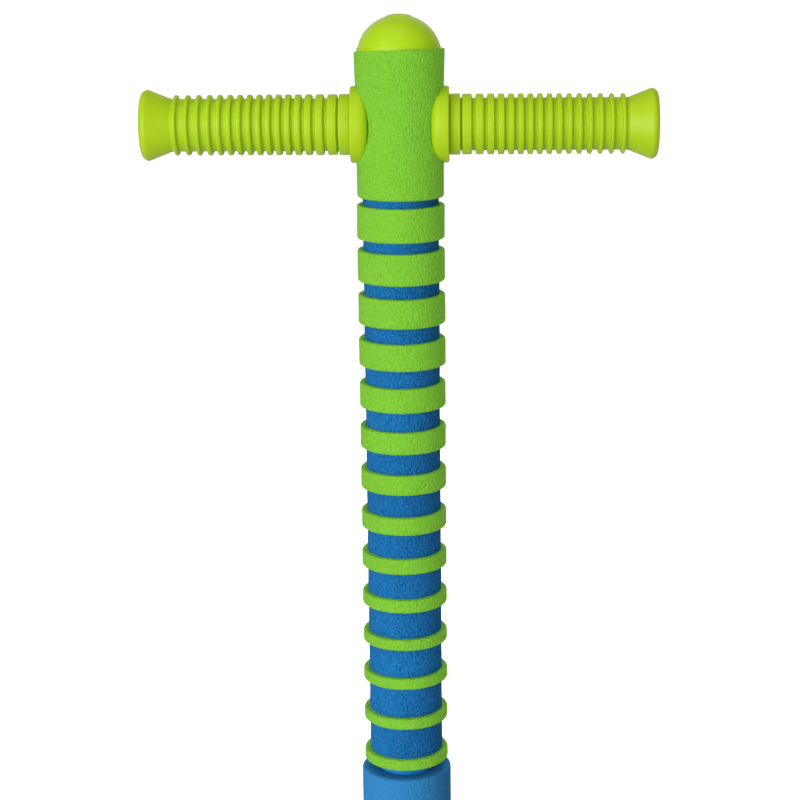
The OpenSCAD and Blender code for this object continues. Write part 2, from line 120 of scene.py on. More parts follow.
def link(name, mesh, smooth_angle=38):
    """Puts a mesh into the scene as an object, smooth except along edges sharper than smooth_angle."""
    piece = bpy.data.objects.new(name, mesh)
    bpy.context.scene.collection.objects.link(piece)
    mesh.shade_smooth()
    mesh.set_sharp_from_angle(angle=math.radians(smooth_angle))
    return piece


def solid(name, verts, faces, smooth_angle=38):
    """A closed mesh object with its normals outward."""
    mesh = bpy.data.meshes.new(name)
    mesh.from_pydata([tuple(v) for v in verts], [], faces)
    work = bmesh.new()
    work.from_mesh(mesh)
    bmesh.ops.recalc_face_normals(work, faces=work.faces)
    work.to_mesh(mesh)
    work.free()
    return link(name, mesh, smooth_angle)


def rounded(corners, span=3 * MM, arc=6):
    """A closed outline from (radius, height, fillet) corners: corners become arcs, long edges are split."""
    points = []
    count = len(corners)
    for i, (r, h, fillet) in enumerate(corners):
        here = Vector((r, h))
        back = Vector(corners[i - 1][:2]) - here
        ahead = Vector(corners[(i + 1) % count][:2]) - here
        half = back.angle(ahead) / 2
        if fillet <= 0 or half > math.radians(89):
            points.append(here)
            continue
        reach = min(fillet / math.tan(half), 0.49 * back.length, 0.49 * ahead.length)
        centre = here + (back.normalized() + ahead.normalized()).normalized() * (reach / math.cos(half))
        start = here + back.normalized() * reach - centre
        end = here + ahead.normalized() * reach - centre
        sweep = start.angle_signed(end)
        for k in range(arc + 1):
            points.append(centre + Matrix.Rotation(-sweep * k / arc, 2) @ start)
    outline = []
    for i, here in enumerate(points):
        ahead = points[(i + 1) % len(points)]
        if (ahead - here).length < 1e-6:
            continue
        parts = max(1, math.ceil((ahead - here).length / span))
        outline += [here.lerp(ahead, k / parts) for k in range(parts)]
    return outline


def lathe(name, outline, steps, smooth_angle=38):
    """A closed solid of revolution about Z from a closed outline of (radius, height) points."""
    verts = []
    index = []
    for r, h in outline:
        if r < 1e-7:
            index.append([len(verts)] * steps)
            verts.append((0, 0, h))
        else:
            index.append(list(range(len(verts), len(verts) + steps)))
            for k in range(steps):
                turn = math.tau * k / steps
                verts.append((r * math.cos(turn), r * math.sin(turn), h))
    faces = []
    for i, low in enumerate(index):
        high = index[(i + 1) % len(index)]
        for k in range(steps):
            corner = [low[k], low[(k + 1) % steps], high[(k + 1) % steps], high[k]]
            face = list(dict.fromkeys(corner))
            if len(face) > 2:
                faces.append(face)
    return solid(name, verts, faces, smooth_angle)


def lay_along_x(piece, side, z):
    """Turns a piece made along Z to lie along X, outward to one side, at height z."""
    turn = Matrix.Translation((0, 0, z)) @ Matrix.Rotation(math.radians(90 * side), 4, "Y")
    piece.data.transform(turn)
    return piece


def rod(name, r, low, high, axis="Z", at=(0, 0, 0), steps=72):
    """A plain cylinder, used as a cutter."""
    piece = lathe(name, [(0, low), (r, low), (r, high), (0, high)], steps)
    if axis == "X":
        piece.data.transform(Matrix.Rotation(math.radians(90), 4, "Y"))
    if axis == "Y":
        piece.data.transform(Matrix.Rotation(math.radians(-90), 4, "X"))
    piece.data.transform(Matrix.Translation(at))
    return piece


def box(name, low, high):
    """A plain box, used as a cutter."""
    mesh = bpy.data.meshes.new(name)
    work = bmesh.new()
    bmesh.ops.create_cube(work, size=1)
    work.to_mesh(mesh)
    work.free()
    size = Vector(high) - Vector(low)
    centre = (Vector(high) + Vector(low)) / 2
    mesh.transform(Matrix.Translation(centre) @ Matrix.Diagonal((*size, 1)))
    return link(name, mesh)


def settle(piece, smooth_angle=38):
    """Applies a piece's modifiers to its mesh."""
    graph = bpy.context.evaluated_depsgraph_get()
    graph.update()
    mesh = bpy.data.meshes.new_from_object(piece.evaluated_get(graph), depsgraph=graph)
    piece.modifiers.clear()
    piece.data = mesh
    mesh.shade_smooth()
    mesh.set_sharp_from_angle(angle=math.radians(smooth_angle))


def combine(piece, operation, *others, smooth_angle=38):
    """Booleans other solids into a piece and removes them."""
    for other in others:
        step = piece.modifiers.new("combine", "BOOLEAN")
        step.operation = operation
        step.solver = "EXACT"
        step.object = other
        settle(piece, smooth_angle)
        bpy.data.objects.remove(other)


def cut(piece, *others, smooth_angle=38):
    """Cuts other solids out of a piece and removes them."""
    combine(piece, "DIFFERENCE", *others, smooth_angle=smooth_angle)


def reshape(piece, move):
    """Moves every vertex by a function of its place."""
    for vertex in piece.data.vertices:
        vertex.co = move(vertex.co)
    piece.data.update()
    return piece


def uneven(piece, amount, size, seed):
    """Gives a foam piece the slight unevenness of cut foam: amount deep, size across."""
    shift = Vector((seed * 1.7, seed * 3.1, seed * 0.9))

    def move(place):
        outward = Vector((place.x, place.y, 0)).normalized()
        return place + outward * amount * noise.noise(place / size + shift)

    return reshape(piece, move)


def finish_piece(piece, slot, node, body="frame", look=None):
    """Lets a piece stand for its CAD node, on its body, in its slot's look unless another is named."""
    piece.data.materials.clear()
    piece.data.materials.append(LOOKS[look or slot])
    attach(piece, body)
    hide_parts(node)


# ---------------------------------------------------------------- material helpers

def colour(red, green, blue):
    """A linear colour from 0 to 255 sRGB values."""
    def linear(value):
        value /= 255
        return value / 12.92 if value <= 0.04045 else ((value + 0.055) / 1.055) ** 2.4

    return (linear(red), linear(green), linear(blue), 1)


class Look:
    """A node material with short calls for what its surfaces need. Texture sizes are in metres."""

    def __init__(self, name, **settings):
        self.material = bpy.data.materials.new(name)
        self.material.use_nodes = True
        self.tree = self.material.node_tree
        self.shader = self.tree.nodes["Principled BSDF"]
        self.place = self.tree.nodes.new("ShaderNodeTexCoord").outputs["Object"]
        for key, value in settings.items():
            self.shader.inputs[key.replace("_", " ")].default_value = value

    def node(self, kind, **settings):
        """Adds a node and sets its properties."""
        made = self.tree.nodes.new(kind)
        for key, value in settings.items():
            setattr(made, key, value)
        return made

    def join(self, source, target):
        """Links one socket to another."""
        self.tree.links.new(source, target)

    def put(self, target, value):
        """Links a socket, or sets a plain value."""
        if isinstance(value, bpy.types.NodeSocket):
            self.join(value, target)
        else:
            target.default_value = value

    def stretched(self, scale):
        """Object coordinates scaled per axis."""
        mapping = self.node("ShaderNodeMapping")
        mapping.inputs["Scale"].default_value = scale
        self.join(self.place, mapping.inputs["Vector"])
        return mapping.outputs["Vector"]

    def noise(self, size, detail=2.0, rough=0.5, place=None):
        """A noise texture's value, by the size of its grain."""
        made = self.node("ShaderNodeTexNoise")
        made.inputs["Scale"].default_value = 1 / size
        made.inputs["Detail"].default_value = detail
        made.inputs["Roughness"].default_value = rough
        self.join(place or self.place, made.inputs["Vector"])
        return made.outputs["Fac"]

    def cells(self, size):
        """The distance to the middle of the nearest cell, by the cells' size."""
        made = self.node("ShaderNodeTexVoronoi")
        made.inputs["Scale"].default_value = 1 / size
        self.join(self.place, made.inputs["Vector"])
        return made.outputs["Distance"]

    def spread(self, value, low, high, to_low=0.0, to_high=1.0):
        """Maps a value's range onto another, clamped."""
        made = self.node("ShaderNodeMapRange")
        self.put(made.inputs["Value"], value)
        for key, number in zip(("From Min", "From Max", "To Min", "To Max"), (low, high, to_low, to_high)):
            made.inputs[key].default_value = number
        return made.outputs["Result"]

    def mix(self, share, first, second):
        """Mixes two colours by a share."""
        made = self.node("ShaderNodeMix", data_type="RGBA")
        self.put(made.inputs["Factor"], share)
        self.put(made.inputs["A"], first)
        self.put(made.inputs["B"], second)
        return made.outputs["Result"]

    def facing(self, low, high, to_high):
        """0 where the surface faces the view, up to to_high where it is seen edge-on."""
        return self.spread(self.node("ShaderNodeLayerWeight").outputs["Facing"], low, high, 0, to_high)

    def sums(self, first, second, operation="ADD"):
        """Two values added, or put together by another operation."""
        made = self.node("ShaderNodeMath", operation=operation)
        self.put(made.inputs[0], first)
        self.put(made.inputs[1], second)
        return made.outputs[0]

    def edges(self, low, high):
        """0 in hollows and on flats, 1 on outward edges."""
        return self.spread(self.node("ShaderNodeNewGeometry").outputs["Pointiness"], low, high)

    def set(self, key, value):
        """Sets or links one of the shader's inputs."""
        self.put(self.shader.inputs[key], value)

    def bump(self, *layers):
        """Stacks bumps, each (height, depth in metres, strength)."""
        normal = None
        for height, depth, strength in layers:
            made = self.node("ShaderNodeBump")
            made.inputs["Strength"].default_value = strength
            made.inputs["Distance"].default_value = depth
            self.join(height, made.inputs["Height"])
            if normal:
                self.join(normal, made.inputs["Normal"])
            normal = made.outputs["Normal"]
        self.join(normal, self.shader.inputs["Normal"])
        return self.material


def foam_look(name, base, dark, light, grain, contrast, relief, painted_sheen=0.0):
    """Closed-cell foam: crumbly cells, a slow drift in tone, and a painted pale sheen where it is seen
    edge-on.
    """
    look = Look(name, Roughness=0.95, Specular_IOR_Level=0.2)
    crumbs = look.noise(grain, detail=3, rough=0.7)
    cells = look.cells(grain * 1.3)
    drift = look.noise(38 * MM, detail=3)
    tone = look.mix(look.spread(drift, 0.3, 0.7, 0, contrast * 0.35), base, dark)
    tone = look.mix(look.spread(crumbs, 0.52, 0.34, 0, contrast), tone, dark)
    tone = look.mix(look.spread(crumbs, 0.52, 0.68, 0, contrast * 0.8), tone, light)
    # painted sheen: the base colour turns paler where the surface is seen edge-on
    look.set("Base Color", look.mix(look.facing(0.25, 0.7, painted_sheen), tone, light))
    look.set("Roughness", look.spread(crumbs, 0.3, 0.7, 1.0, 0.88))
    return look.bump(
        (look.noise(7 * MM, 2), 0.35 * MM, 0.35),
        (look.noise(1.25 * MM, 2, 0.6, look.stretched((1, 1, 0.65))), relief * 7.5, 1.0),
        (cells, relief, 0.6),
        (crumbs, relief * 1.5, 0.9),
    )


def plastic_look(name, base, deep, pale, roughness, soft, rim=0.0):
    """Moulded plastic: flow marks, a faint skin texture, scuffed edges, and a painted pale sheen on the rim
    where it is seen edge-on.
    """
    look = Look(name, Specular_IOR_Level=0.35, Subsurface_Weight=soft, Subsurface_Scale=1.5 * MM)
    look.shader.inputs["Subsurface Radius"].default_value = (1.0, 1.0, 0.25)
    flow = look.noise(28 * MM, detail=3, rough=0.6)
    skin = look.noise(0.7 * MM, detail=2)
    scuffs = look.noise(3.5 * MM, detail=4, rough=0.7, place=look.stretched((1, 1, 2.5)))
    tone = look.mix(look.spread(flow, 0.3, 0.7, 0, 0.4), base, deep)
    worn = look.sums(look.edges(0.53, 0.62), look.spread(scuffs, 0.45, 0.75), "MULTIPLY")
    tone = look.mix(look.spread(worn, 0, 1, 0, 0.5), tone, pale)
    # painted sheen: rim sets how far the base colour turns near-white where the surface is seen edge-on
    look.set("Base Color", look.mix(look.facing(0.52, 0.88, rim), tone, colour(236, 240, 200)))
    look.set("Roughness", look.spread(scuffs, 0.35, 0.75, roughness, roughness + 0.09))
    return look.bump((skin, 0.05 * MM, 0.16), (flow, 0.25 * MM, 0.12))


def rubber_look(name, base, dust):
    """Moulded rubber with a matte skin, and dust where it is rubbed."""
    look = Look(name, Specular_IOR_Level=0.35)
    skin = look.noise(0.9 * MM, detail=3, rough=0.6)
    patches = look.noise(11 * MM, detail=5, rough=0.65)
    worn = look.sums(look.spread(patches, 0.45, 0.7), look.edges(0.5, 0.6))
    look.set("Base Color", look.mix(look.spread(worn, 0.1, 1.4, 0, 0.45), base, dust))
    look.set("Roughness", look.spread(patches, 0.3, 0.7, 0.62, 0.82))
    return look.bump((skin, 0.12 * MM, 0.35), (patches, 0.2 * MM, 0.15))


def metal_look(name, base, dull, roughness, lines, drawn_along, painted_dark_reflection=0.3):
    """Drawn or turned metal: fine lines along its length, cloudy patches, and a painted dark reflection on
    edges seen edge-on.
    """
    look = Look(name, Metallic=1.0)
    grain = look.noise(lines, detail=3, place=look.stretched(drawn_along))
    cloud = look.noise(14 * MM, detail=4, rough=0.6)
    tone = look.mix(look.spread(cloud, 0.35, 0.7, 0, 0.6), base, dull)
    # painted reflection and shade: the base colour darkens where the surface is seen edge-on
    look.set("Base Color", look.mix(look.facing(0.1, 0.55, painted_dark_reflection), tone, colour(44, 46, 50)))
    rough = look.spread(cloud, 0.3, 0.7, roughness, roughness + 0.1)
    look.set("Roughness", look.sums(rough, look.spread(grain, 0.3, 0.7, 0, 0.08)))
    return look.bump((grain, 0.02 * MM, 0.2))


def paint_look(name, base, deep):
    """Glossy powder paint with a slight orange-peel skin and a few rubbed places."""
    look = Look(name, Coat_Weight=0.6, Coat_Roughness=0.08, Specular_IOR_Level=0.5)
    peel = look.noise(1.6 * MM, detail=1.5)
    cloud = look.noise(20 * MM, detail=4, rough=0.6)
    look.set("Base Color", look.mix(look.spread(cloud, 0.35, 0.7, 0, 0.5), base, deep))
    look.set("Roughness", look.spread(cloud, 0.3, 0.7, 0.22, 0.34))
    return look.bump((peel, 0.08 * MM, 0.12))


LOOKS = {
    "green_foam": foam_look(
        "green_foam", colour(132, 205, 57), colour(98, 168, 28), colour(156, 222, 78),
        grain=0.62 * MM, contrast=0.36, relief=0.2 * MM, painted_sheen=0.25,
    ),
    "blue_foam": foam_look(
        "blue_foam", colour(29, 136, 212), colour(5, 70, 136), colour(54, 162, 234),
        grain=0.55 * MM, contrast=0.95, relief=0.28 * MM,
    ),
    "smooth_blue_foam": foam_look(
        "smooth_blue_foam", colour(52, 138, 200), colour(26, 104, 168), colour(78, 160, 218),
        grain=0.5 * MM, contrast=0.4, relief=0.11 * MM,
    ),
    "lime_plastic": plastic_look(
        "lime_plastic", colour(172, 206, 6), colour(162, 198, 4), colour(186, 214, 50),
        roughness=0.42, soft=0.03,
    ),
    "lime_gloss": plastic_look(
        "lime_gloss", colour(172, 212, 10), colour(162, 204, 8), colour(190, 220, 56),
        # rim: the cap's painted pale sheen along its edges
        roughness=0.34, soft=0.03, rim=0.27,
    ),
    "blue_rubber": rubber_look("blue_rubber", colour(24, 84, 148), colour(92, 132, 170)),
    "black_rubber": rubber_look("black_rubber", colour(34, 34, 36), colour(104, 100, 94)),
    "black_nylon": plastic_look(
        "black_nylon", colour(30, 30, 32), colour(22, 22, 24), colour(88, 88, 90),
        roughness=0.38, soft=0.0,
    ),
    "white_nylon": plastic_look(
        "white_nylon", colour(226, 225, 216), colour(214, 212, 200), colour(240, 240, 236),
        roughness=0.36, soft=0.1,
    ),
    "blue_paint": paint_look("blue_paint", colour(28, 146, 220), colour(20, 120, 200)),
    "raw_steel": metal_look(
        "raw_steel", colour(170, 171, 174), colour(128, 127, 126),
        roughness=0.32, lines=0.4 * MM, drawn_along=(1, 1, 0.05),
    ),
    "zinc_steel": metal_look(
        "zinc_steel", colour(200, 202, 206), colour(168, 170, 172),
        roughness=0.26, lines=0.3 * MM, drawn_along=(1, 1, 1),
    ),
    "chrome": metal_look(
        "chrome", colour(246, 247, 249), colour(230, 232, 236),
        # a strong painted dark reflection along the chrome's edges
        roughness=0.06, lines=0.5 * MM, drawn_along=(1, 1, 0.03), painted_dark_reflection=0.8,
    ),
}


# ---------------------------------------------------------------- foam cover

RING_BACK = radius_x("foam_core") + FIT
FLANGE_IN = 16.4 * MM
FLANGE_R = radius_z("grip_flange_right")
FLANGE_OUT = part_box("grip_flange_right")[1].x
FLANGE_EDGE = 5 * MM
FLANGE_CONE = 3 * MM


def flange_outline(grow, end):
    """A flange's outline along the bar: a cone, a rounded edge, then straight out to its end."""
    back = FLANGE_IN - FLANGE_CONE - grow
    points = [(0, back), (BAR_R + grow, back)]
    edge = FLANGE_EDGE + grow
    for k in range(13):
        turn = math.radians(90) * k / 12
        at = (FLANGE_R - FLANGE_EDGE + edge * math.sin(turn), FLANGE_IN + FLANGE_EDGE - edge * math.cos(turn))
        points.append(at)
    return points + [(FLANGE_R + grow, end), (0, end)]


def flange_space(side, grow):
    """The space that the bar and a flange take out of the foam."""
    outline = flange_outline(grow, 2 * FLANGE_R)
    outline = [(0, 0), (BAR_R + grow, 0)] + outline[1:]
    return lay_along_x(lathe("flange_space", outline, 128), side, HANDLE_Z)


def foam_ring(number, node):
    """One green ring, cut a little unevenly, each in its own way."""
    low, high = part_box(node)
    outer = radius_x(node)
    edge = min(1.1 * MM, (high.z - low.z) * 0.18)
    outline = rounded([
        (RING_BACK, low.z, 0),
        (outer, low.z, edge),
        (outer, high.z, edge),
        (RING_BACK, high.z, 0),
    ], span=1.2 * MM)
    piece = uneven(lathe(node + "_foam", outline, 192), 0.16 * MM, 14 * MM, number)
    finish_piece(piece, "green_foam", node)


def foam_core():
    """The blue tube of foam that shows between the rings, with room for the bar and the flanges."""
    low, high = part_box("foam_core")
    outer = radius_x("foam_core")
    outline = rounded([
        (TUBE_R + FIT, low.z, 0),
        (outer, low.z, 0.8 * MM),
        (outer, high.z, 0.8 * MM),
        (TUBE_R + FIT, high.z, 0),
    ], span=2 * MM)
    piece = lathe("foam_core_foam", outline, 192)
    cut(piece, flange_space(-1, FIT), flange_space(1, FIT))
    uneven(piece, 0.22 * MM, 11 * MM, 31)
    finish_piece(piece, "blue_foam", "foam_core")


def top_sleeve():
    """The sleeve's mouth is stretched over the cap's skirt, and its top is cut a little out of square."""
    low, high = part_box("top_sleeve")
    lip = radius_x("top_sleeve")
    body = 22.95 * MM
    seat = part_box("foam_core")[1].z + FIT
    skirt = radius_x("top_cap") + FIT
    outline = rounded([
        (RING_BACK, low.z, 0),
        (body, low.z, 1.0 * MM),
        (body + 0.25 * MM, HANDLE_Z + FLANGE_R, 40 * MM),
        (lip, high.z, 0.6 * MM),
        (skirt, high.z, 0.25 * MM),
        (skirt, seat, 0),
        (RING_BACK, seat, 0),
    ], span=1.0 * MM)
    piece = lathe("top_sleeve_foam", outline, 224)
    cut(piece, flange_space(-1, FIT), flange_space(1, FIT))

    gap, gap_reach = 0.5 * MM, 12 * MM      # the gap beside the left flange, and its reach up and down
    rim = 6 * MM                            # how far down the top edge's slope reaches

    def settle_foam(place):
        """The foam stands a little off the left flange, and its top edge slopes back and to the left."""
        place = Vector(place)
        off_axis = math.hypot(place.y, place.z - HANDLE_Z)
        if place.x < -FLANGE_IN + 1.2 * MM and off_axis < FLANGE_R + MM:
            place.x += gap * max(0.0, 1 - abs(place.z - HANDLE_Z) / gap_reach)
        rise = max(0.0, (place.z - (high.z - rim)) / rim)
        place.z += rise * (0.85 * place.x - 1.2 * place.y) / lip * MM - rise * 0.35 * MM
        return place

    reshape(piece, settle_foam)
    uneven(piece, 0.2 * MM, 16 * MM, 47)
    finish_piece(piece, "green_foam", "top_sleeve")


def lower_sleeve():
    """The wider, smoother blue sleeve below the rings."""
    low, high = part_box("lower_sleeve")
    outer = radius_x("lower_sleeve")
    outline = rounded([
        (TUBE_R + FIT, low.z, 0),
        (outer, low.z, 1.2 * MM),
        (outer, high.z, 1.6 * MM),
        (TUBE_R + FIT, high.z, 0.6 * MM),
    ], span=2.5 * MM)
    piece = uneven(lathe("lower_sleeve_foam", outline, 192), 0.1 * MM, 30 * MM, 63)
    finish_piece(piece, "smooth_blue_foam", "lower_sleeve")


# ---------------------------------------------------------------- handle and cap

def top_cap():
    """A hollow dome with a low disc on top, a skirt in the sleeve's mouth and a plug in the tube."""
    low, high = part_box("top_cap")
    lip_r = radius_x("top_cap")
    lip_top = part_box("top_sleeve")[1].z + 0.7 * MM
    skirt_r = lip_r - 0.3 * MM
    skirt_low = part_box("foam_core")[1].z + FIT
    wall = 2.5 * MM
    disc_r, disc_h = 6.3 * MM, 0.5 * MM
    centre = high.z - disc_h - skirt_r
    plug_r = TUBE_BORE - FIT
    plug_low = low.z

    raised = 1.4 * MM                 # the dome is a little flatter than a sphere, on a short upright wall
    flat = 1 - raised / skirt_r

    def on_dome(radius, at):
        """The dome's height at a distance from its axis."""
        return centre + raised + flat * math.sqrt(radius ** 2 - at ** 2)

    def dome(radius, from_r, to_r, count):
        """Outline corners along the dome from one distance to another."""
        first, last = math.asin(from_r / radius), math.asin(min(1.0, to_r / radius))
        turns = [first + (last - first) * k / count for k in range(count + 1)]
        return [(radius * math.sin(t), centre + raised + flat * radius * math.cos(t), 0) for t in turns]

    corners = dome(skirt_r + disc_h, 0.0, disc_r - 0.1 * MM, 6)
    corners += [(disc_r, on_dome(skirt_r + disc_h, disc_r) - 0.12 * MM, 0.0)]
    corners += [(disc_r + 0.7 * MM, on_dome(skirt_r, disc_r + 0.7 * MM), 0.0)]
    shoulder = math.sqrt(skirt_r ** 2 - ((lip_top - centre - raised) / flat) ** 2)
    corners += dome(skirt_r, disc_r + 1.0 * MM, shoulder, 40)
    corners += [
        (lip_r, lip_top, 0.25 * MM),
        (lip_r, skirt_low, 0.4 * MM),
        (skirt_r - wall, skirt_low, 0.4 * MM),
    ]
    inner = skirt_r - wall
    corners += dome(inner, inner, plug_r, 12)
    corners += [
        (plug_r, plug_low, 0.5 * MM),
        (plug_r - 2 * MM, plug_low, 0.5 * MM),
    ]
    corners += dome(inner, plug_r - 2 * MM, 0.0, 12)
    piece = lathe("top_cap_dome", rounded(corners, span=2 * MM), 192, smooth_angle=30)
    finish_piece(piece, "lime_plastic", "top_cap", look="lime_gloss")


def grip_flange(side_name, side):
    """A thick disc with a well rounded inner edge, hollowed to sit on the main tube."""
    inner = [(r, h, 0) for r, h in flange_outline(0, FLANGE_OUT)[2:-2]]
    outline = rounded([
        (BAR_R + FIT, FLANGE_IN - FLANGE_CONE, 0),
        *inner,
        (FLANGE_R, FLANGE_OUT, 1.0 * MM),
        (BAR_R + FIT, FLANGE_OUT, 0.3 * MM),
    ], span=1.0 * MM)
    piece = lay_along_x(lathe("grip_flange_%s_disc" % side_name, outline, 176), side, HANDLE_Z)

    def seat_on_tube(place):
        """Hollows the inner end to the main tube's round."""
        reach = TUBE_R + 2 * FIT
        if place.x ** 2 + place.y ** 2 < reach ** 2:
            return Vector((side * math.sqrt(max(reach ** 2 - place.y ** 2, 0)), place.y, place.z))
        return place

    reshape(piece, seat_on_tube)
    finish_piece(piece, "lime_plastic", "grip_flange_" + side_name)


RIBS = 16


def rib_width(n):
    """The ribs get narrower towards the end, the first few quickly."""
    return (2.2 + 1.6 * (RIBS - n) / (RIBS - 1) + 1.75 * math.exp(-(n - 1) / 1.46)) * MM


def rib_gap(n):
    """The gap after rib n widens towards the end."""
    return (1.53 + 2.27 * ((n - 1) / (RIBS - 2)) ** 2.2) * MM


def grip(side_name, side):
    """Collar, ribs that thin out towards the end, and a flared end."""
    inner = FLANGE_OUT + FIT
    groove_r, rib_r, collar_r = 13.7 * MM, 15.8 * MM, 15.9 * MM
    flare_r = radius_z("grip_" + side_name)
    bore_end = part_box("handle_bar")[1].x + FIT
    flare = HANDLE_END - 15.6 * MM
    collar_end = 31.7 * MM
    corners = [
        (BAR_R + FIT, inner, 0),
        (collar_r, inner, 0.6 * MM),
        (collar_r, collar_end, 0.5 * MM),
        (groove_r, collar_end, 0.15 * MM),
    ]
    start = 32.4 * MM                 # the first rib's inner side
    for n in range(1, RIBS + 1):
        width = rib_width(n)
        foot = 0.35 * MM
        top = (0.7 + 0.35 * n / RIBS) * MM
        corners += [
            (groove_r, start, foot if n > 1 else 0.15 * MM),
            (rib_r, start + 0.08 * width, top),
            (rib_r, start + 0.92 * width, top),
            (groove_r, start + width, foot),
        ]
        if n < RIBS:
            start += width + rib_gap(n)
    corners += [
        (groove_r, flare, 3 * MM),
        (flare_r + 0.3 * MM, HANDLE_END - 2.7 * MM, 2.2 * MM),
        (flare_r - 1.8 * MM, HANDLE_END, 2.6 * MM),
        (0, HANDLE_END, 0),
        (0, bore_end, 0),
        (BAR_R + FIT, bore_end, 0),
    ]
    outline = rounded(corners, span=2.2 * MM, arc=5)
    piece = lay_along_x(lathe("grip_%s_ribbed" % side_name, outline, 160), side, HANDLE_Z)
    finish_piece(piece, "lime_plastic", "grip_" + side_name)


# ---------------------------------------------------------------- screws

HUB_HEAD_R = 3.6 * MM
HUB_HEAD_H = 3 * MM
HUB_SHANK_R = 2 * MM


def screw(name, head_r, head_h, shank_r, shank, recess):
    """A screw along +Z: its head's underside is at 0, the shank runs down. recess is 'cross' or 'hex'."""
    outline = rounded([
        (0, head_h, 0),
        (head_r * 0.55, head_h * 0.98, 0.8 * MM),
        (head_r, head_h * 0.35, head_h * 0.4),
        (head_r, 0, 0.15 * MM),
        (shank_r, 0, 0),
        (shank_r, -shank + shank_r * 0.6, 0.2 * MM),
        (shank_r * 0.55, -shank, 0),
        (0, -shank, 0),
    ], span=1.5 * MM, arc=5)
    piece = lathe(name, outline, 64, smooth_angle=30)
    depth = head_h * 0.6
    if recess == "hex":
        cut(piece, rod("socket", head_r * 0.42, head_h - depth, head_h * 2, steps=6), smooth_angle=30)
    else:
        arm, thick = head_r * 0.55, head_r * 0.11
        cut(
            piece,
            box("slot_a", (-arm, -thick, head_h - depth), (arm, thick, 2 * head_h)),
            box("slot_b", (-thick, -arm, head_h - depth), (thick, arm, 2 * head_h)),
            smooth_angle=30,
        )
    return piece


def joined(name, parts):
    """Several solids as one object."""
    mesh = bpy.data.meshes.new(name)
    work = bmesh.new()
    for part in parts:
        work.from_mesh(part.data)
        bpy.data.objects.remove(part)
    work.to_mesh(mesh)
    work.free()
    return link(name, mesh, 30)


def screws_x(name, node, head_r, head_h, shank_r, recess):
    """A pair of screws whose heads face outward along X, where the CAD node has them."""
    low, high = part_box(node)
    z = (low.z + high.z) / 2
    inner = min(abs(v.co.x) for v in frame["nodes"][node].data.vertices)
    parts = []
    for side in SIDES.values():
        part = screw("part", head_r, head_h, shank_r, high.x - head_h - inner, recess)
        part.data.transform(Matrix.Translation((0, 0, high.x - head_h)))
        parts.append(lay_along_x(part, side, z))
    finish_piece(joined(name, parts), "zinc_steel", node)


def hub_screw_places():
    """Each hub screw's signs along X and Z, and its X and Z."""
    low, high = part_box("hub_screws")
    x, z = high.x - HUB_HEAD_R, (high.z - low.z) / 2 - HUB_HEAD_R
    return [(sx, sz, sx * x, PEG_Z + sz * z) for sx in (-1, 1) for sz in (-1, 1)]


def hub_screws():
    """Four screws through the hub from the front, each stopped at its own angle."""
    low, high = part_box("hub_screws")
    parts = []
    for sx, sz, x, z in hub_screw_places():
        part = screw("part", HUB_HEAD_R, HUB_HEAD_H, HUB_SHANK_R, high.y - low.y - HUB_HEAD_H, "cross")
        turn = Matrix.Rotation(math.radians(90), 4, "X") @ Matrix.Rotation(sx * 0.5 + sz, 4, "Z")
        part.data.transform(Matrix.Translation((x, low.y + HUB_HEAD_H, z)) @ turn)
        parts.append(part)
    finish_piece(joined("hub_screws_cross", parts), "zinc_steel", "hub_screws")


# ---------------------------------------------------------------- hub and pegs

HUB_BOSS_X = radius_x("hub_shell_front")
BOSS_R = 17 * MM
HUB_REACH = 60 * MM               # past the hub's outside, for its cutters


def remesh(piece, voxel, rounds):
    """Melts a solid's inner corners and outer edges into small fillets."""
    step = piece.modifiers.new("remesh", "REMESH")
    step.mode = "VOXEL"
    step.voxel_size = voxel
    soften = piece.modifiers.new("soften", "SMOOTH")
    soften.factor = 0.5
    soften.iterations = rounds
    settle(piece, 60)


